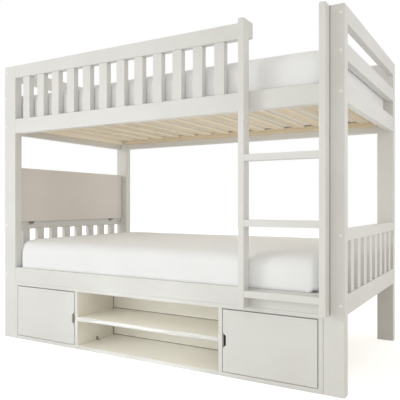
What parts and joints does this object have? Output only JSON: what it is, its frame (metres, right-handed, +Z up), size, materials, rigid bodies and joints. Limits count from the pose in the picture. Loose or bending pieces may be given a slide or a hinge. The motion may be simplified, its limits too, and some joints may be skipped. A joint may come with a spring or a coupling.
{
  "type": "bunk bed",
  "caption": "White painted wooden bunk bed with two mattresses, slatted guards, a fixed front ladder, a fold-down headboard flap and a storage cabinet with doors and an open shelf bay under it",
  "frame": {"origin": "centre of the bounding box on the floor", "axes": "+Z up, +X along the bed towards the ladder end, front with ladder and cabinet doors faces -Y"},
  "size_m": [2.09, 1.1894, 1.652],
  "materials": {
    "white_paint": "satin paint",
    "pine": "planed, unpainted",
    "ticking": "matte woven",
    "dark_steel": "satin",
    "white_caps": "semi-gloss"
  },
  "bodies": {
    "frame": {"post_front_left": "white_paint", "post_front_right": "white_paint", "post_rear_left": "white_paint", "post_rear_right": "white_paint", "side_rail_upper_front": "white_paint", "side_rail_upper_rear": "white_paint", "side_rail_lower_front": "white_paint", "side_rail_lower_rear": "white_paint", "end_rail_left_top": "white_paint", "end_rail_left_middle": "white_paint", "end_rail_left_bed": "white_paint", "end_rail_right_top": "white_paint", "end_rail_right_middle": "white_paint", "end_rail_right_bed": "white_paint", "low_end_rail_left_top": "white_paint", "low_end_rail_left_bed": "white_paint", "low_end_rail_right_top": "white_paint", "low_end_rail_right_bed": "white_paint", "low_end_slats_left": "white_paint", "low_end_slats_right": "white_paint", "guard_rail_front": "white_paint", "guard_rail_rear": "white_paint", "guard_slats_front": "white_paint", "guard_slats_rear": "white_paint", "ladder_stile_left": "white_paint", "ladder_stile_right": "white_paint", "rung_bottom": "white_paint", "rung_middle": "white_paint", "rung_top": "white_paint", "cabinet_top": "white_paint", "cabinet_bottom": "white_paint", "cabinet_side_left": "white_paint", "cabinet_side_right": "white_paint", "partition_left": "white_paint", "partition_right": "white_paint", "cabinet_back": "white_paint", "cabinet_shelf": "white_paint", "ledger_upper_front": "pine", "ledger_upper_rear": "pine", "ledger_lower_front": "pine", "ledger_lower_rear": "pine", "end_ledgers_upper": "pine", "end_ledgers_lower": "pine", "bed_slats_upper": "pine", "bed_slats_lower": "pine", "mattress_upper": "ticking", "mattress_lower": "ticking", "shelf_pins": "dark_steel", "door_catches": "dark_steel", "flap_rail_leaves": "dark_steel", "flap_hinge_pins": "dark_steel", "ladder_screws": "dark_steel", "corner_bracket": "dark_steel", "post_bolts": "white_caps"},
    "left_door": {"door_left": "white_paint", "door_pivots_left": "dark_steel"},
    "right_door": {"door_right": "white_paint", "door_pivots_right": "dark_steel"},
    "flap": {"headboard_flap": "white_paint", "flap_hinge_leaves": "dark_steel"}
  },
  "joints": [
    {"name": "left_door_hinge", "type": "hinge", "parent": "frame", "child": "left_door", "pos_m": [-0.9028, -0.52775, 0.1705], "axis": [0, 0, -1], "range_deg": [0, 95]},
    {"name": "right_door_hinge", "type": "hinge", "parent": "frame", "child": "right_door", "pos_m": [0.9028, -0.52775, 0.1705], "axis": [0, 0, 1], "range_deg": [0, 95]},
    {"name": "flap_hinge", "type": "hinge", "parent": "frame", "child": "flap", "pos_m": [-0.99954, 0.02825, 0.697], "axis": [0, 1, 0], "range_deg": [0, 90]}
  ]
}
